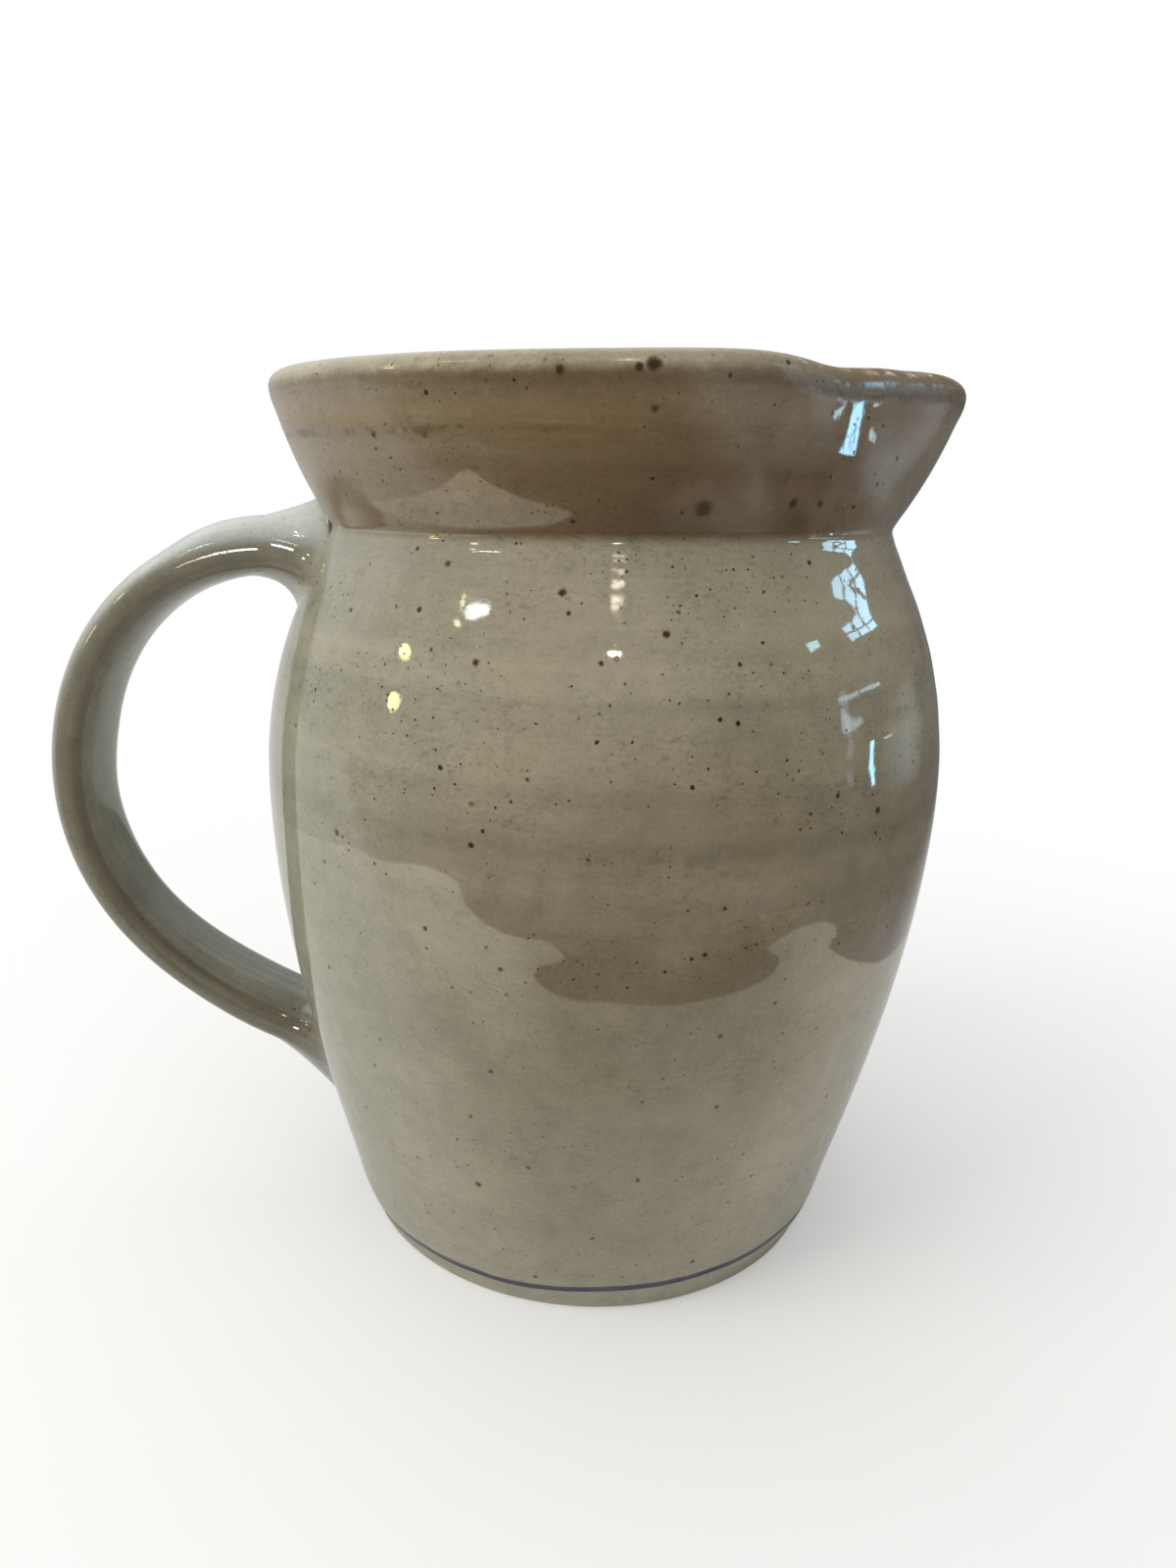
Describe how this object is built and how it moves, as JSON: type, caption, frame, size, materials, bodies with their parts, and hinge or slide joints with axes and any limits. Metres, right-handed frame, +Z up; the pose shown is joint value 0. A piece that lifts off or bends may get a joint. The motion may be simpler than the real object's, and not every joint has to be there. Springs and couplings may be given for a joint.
{
  "type": "stoneware pitcher",
  "caption": "Wheel-thrown stoneware pitcher with a swelling body, creased neck, flared collar, pinched pouring spout and a pulled strap handle luted on opposite it.",
  "frame": {"origin": "middle of the flat base, on the axis that the body was thrown round", "axes": "+Z up the throwing axis, +X out over the spout, -X out over the handle"},
  "size_m": [0.2061, 0.1516, 0.1915],
  "materials": {
    "body_glaze": "glossy grey-beige speckled stoneware glaze, darker where it is dipped twice",
    "handle_glaze": "glossy grey-green speckled stoneware glaze",
    "joint_glaze": "glossy grey-beige stoneware glaze pooled in the worked clay"
  },
  "bodies": {
    "root": {"body": "body_glaze", "handle": "handle_glaze", "upper_handle_joint": "joint_glaze", "lower_handle_joint": "joint_glaze"}
  },
  "joints": []
}
